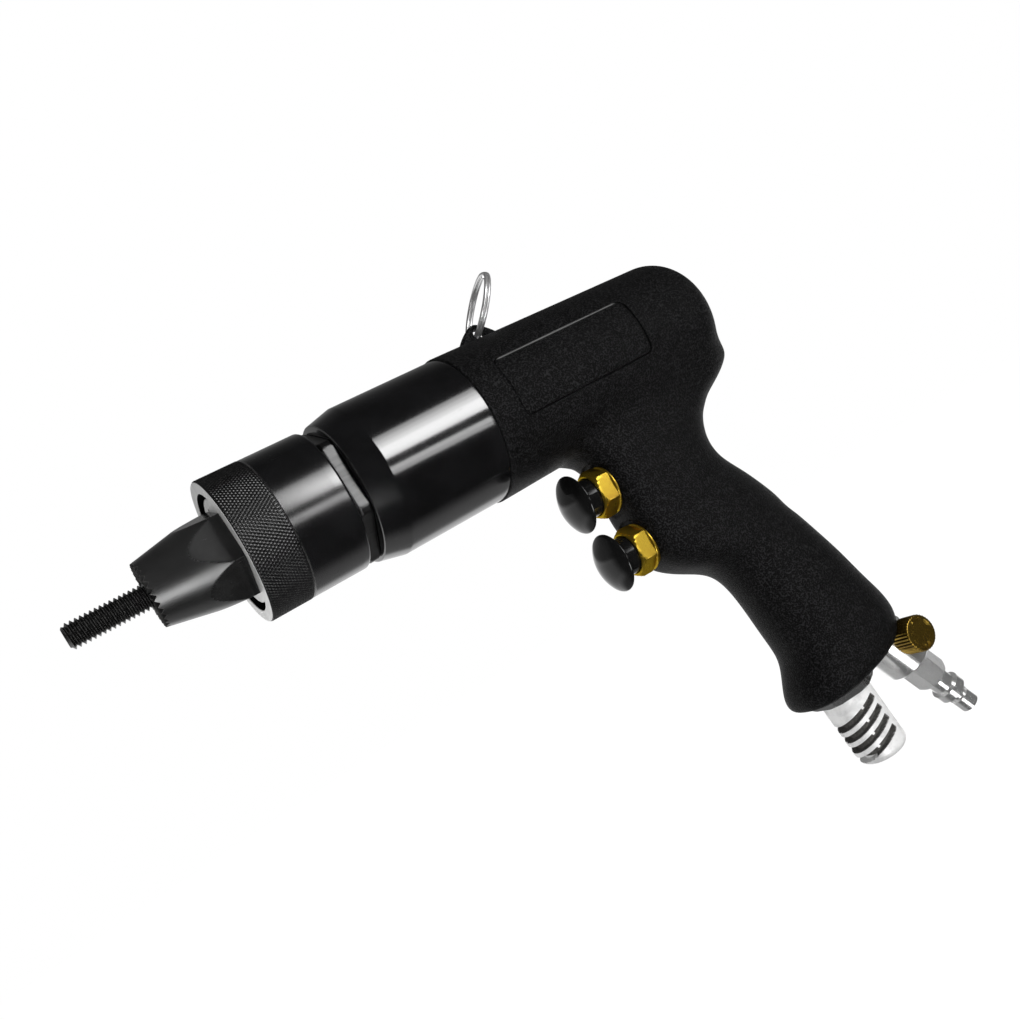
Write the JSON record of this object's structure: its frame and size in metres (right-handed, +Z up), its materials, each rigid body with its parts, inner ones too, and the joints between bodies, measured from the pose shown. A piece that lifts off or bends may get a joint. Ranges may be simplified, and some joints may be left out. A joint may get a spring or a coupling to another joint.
{
  "type": "pneumatic riveter for rivet nuts",
  "caption": "Pistol-grip air tool that spins and pulls rivet nuts: threaded mandrel, serrated nosepiece, adjusting sleeve, push-button triggers, silencer and air plug.",
  "frame": {"origin": "on the barrel axis, in the plane of the nosepiece's serrated front face, where a rivet nut's flange seats", "axes": "+X along the barrel from the nose to the back, +Z up, +Y across the tool to its far side with the triggers on the left"},
  "size_m": [0.2601, 0.053, 0.2335],
  "materials": {
    "black_oxide_steel": "black oxide, satin",
    "gloss_black_steel": "gloss black",
    "bright_steel": "turned and ground",
    "gear_steel": "machined, oiled",
    "bearing_steel": "ground and polished",
    "cast_plate": "machined",
    "vane_fibre": "pressed fibre laminate",
    "moulded_black": "fine grained, matt",
    "button_black": "smooth gloss",
    "brass": "machined",
    "spring_wire": "bright wire",
    "seal_rubber": "nitrile",
    "plated_aluminium": "bright satin",
    "felt_grey": "pressed felt"
  },
  "bodies": {
    "tool_body": {"housing": "moulded_black", "gear_case": "gloss_black_steel", "ring_gear": "gear_steel", "front_end_plate": "cast_plate", "front_rotor_bearing": "bearing_steel", "motor_cylinder": "cast_plate", "rear_end_plate": "cast_plate", "rear_rotor_bearing": "bearing_steel", "thrust_race_front": "bearing_steel", "spindle_bearing": "bearing_steel", "forward_valve_nut": "brass", "forward_valve_bush": "brass", "forward_spring": "spring_wire", "reverse_valve_nut": "brass", "reverse_valve_bush": "brass", "reverse_spring": "spring_wire", "exhaust_bushing": "button_black", "silencer": "plated_aluminium", "silencer_felt": "felt_grey", "inlet_stud": "bright_steel", "regulator_body": "plated_aluminium", "air_plug": "bright_steel"},
    "spindle": {"mandrel": "black_oxide_steel", "drive_spindle": "gear_steel", "thrust_race_rear": "bearing_steel", "planet_carrier": "gear_steel", "planet_pins": "bearing_steel"},
    "ball_ring": {"thrust_balls": "bearing_steel"},
    "planet_a": {"planet_gear_a": "gear_steel"},
    "planet_b": {"planet_gear_b": "gear_steel"},
    "planet_c": {"planet_gear_c": "gear_steel"},
    "rotor_set": {"rotor": "gear_steel", "rotor_vanes": "vane_fibre"},
    "nose": {"nose_carrier": "bright_steel", "carrier_snap_ring": "spring_wire", "nosepiece": "black_oxide_steel"},
    "sleeve": {"adjusting_sleeve": "black_oxide_steel"},
    "lock_nut_body": {"lock_nut": "black_oxide_steel"},
    "forward_trigger": {"forward_button": "button_black", "forward_valve_washer": "seal_rubber"},
    "reverse_trigger": {"reverse_button": "button_black", "reverse_valve_washer": "seal_rubber"},
    "hanging_ring": {"suspension_ring": "spring_wire"},
    "knob": {"regulator_knob": "brass"}
  },
  "joints": [
    {"name": "mandrel_spin", "type": "hinge", "parent": "tool_body", "child": "spindle", "pos_m": [0, 0, 0], "axis": [1, 0, 0], "continuous": true},
    {"name": "ball_ring_spin", "type": "hinge", "parent": "tool_body", "child": "ball_ring", "pos_m": [0, 0, 0], "axis": [1, 0, 0], "continuous": true},
    {"name": "rotor_spin", "type": "hinge", "parent": "tool_body", "child": "rotor_set", "pos_m": [0, 0, 0], "axis": [1, 0, 0], "continuous": true},
    {"name": "planet_a_spin", "type": "hinge", "parent": "spindle", "child": "planet_a", "pos_m": [0, 0, 0.0108], "axis": [1, 0, 0], "continuous": true},
    {"name": "planet_b_spin", "type": "hinge", "parent": "spindle", "child": "planet_b", "pos_m": [0, -0.00935, -0.0054], "axis": [1, 0, 0], "continuous": true},
    {"name": "planet_c_spin", "type": "hinge", "parent": "spindle", "child": "planet_c", "pos_m": [0, 0.00935, -0.0054], "axis": [1, 0, 0], "continuous": true},
    {"name": "nose_travel", "type": "slide", "parent": "tool_body", "child": "nose", "axis": [-1, 0, 0], "range_m": [0, 0.003]},
    {"name": "sleeve_turn", "type": "hinge", "parent": "nose", "child": "sleeve", "pos_m": [0.026, 0, 0], "axis": [-1, 0, 0], "range_deg": [0, 720]},
    {"name": "lock_nut_turn", "type": "hinge", "parent": "tool_body", "child": "lock_nut_body", "pos_m": [0.0624, 0, 0], "axis": [1, 0, 0], "range_deg": [0, 120]},
    {"name": "forward_press", "type": "slide", "parent": "tool_body", "child": "forward_trigger", "axis": [0.9986, 0, -0.0523], "range_m": [0, 0.004], "stiffness_N_per_m": 1500, "springref_m": -0.004},
    {"name": "reverse_press", "type": "slide", "parent": "tool_body", "child": "reverse_trigger", "axis": [0.9986, 0, -0.0523], "range_m": [0, 0.004], "stiffness_N_per_m": 1500, "springref_m": -0.004},
    {"name": "ring_swing", "type": "hinge", "parent": "tool_body", "child": "hanging_ring", "pos_m": [0.1373, 0, 0.0285], "axis": [0, 1, 0], "range_deg": [-120, 44]},
    {"name": "knob_turn", "type": "hinge", "parent": "tool_body", "child": "knob", "pos_m": [0.2154, -0.018, -0.1448], "axis": [0, -1, 0], "range_deg": [-90, 90]}
  ],
  "couplings": [
    {"joint": "rotor_spin", "follows": "mandrel_spin", "ratio": 4.5},
    {"joint": "ball_ring_spin", "follows": "mandrel_spin", "ratio": 0.5},
    {"joint": "planet_a_spin", "follows": "mandrel_spin", "ratio": -2.8},
    {"joint": "planet_b_spin", "follows": "mandrel_spin", "ratio": -2.8},
    {"joint": "planet_c_spin", "follows": "mandrel_spin", "ratio": -2.8},
    {"joint": "nose_travel", "follows": "sleeve_turn", "m_per_rad": 0.00023873}
  ]
}
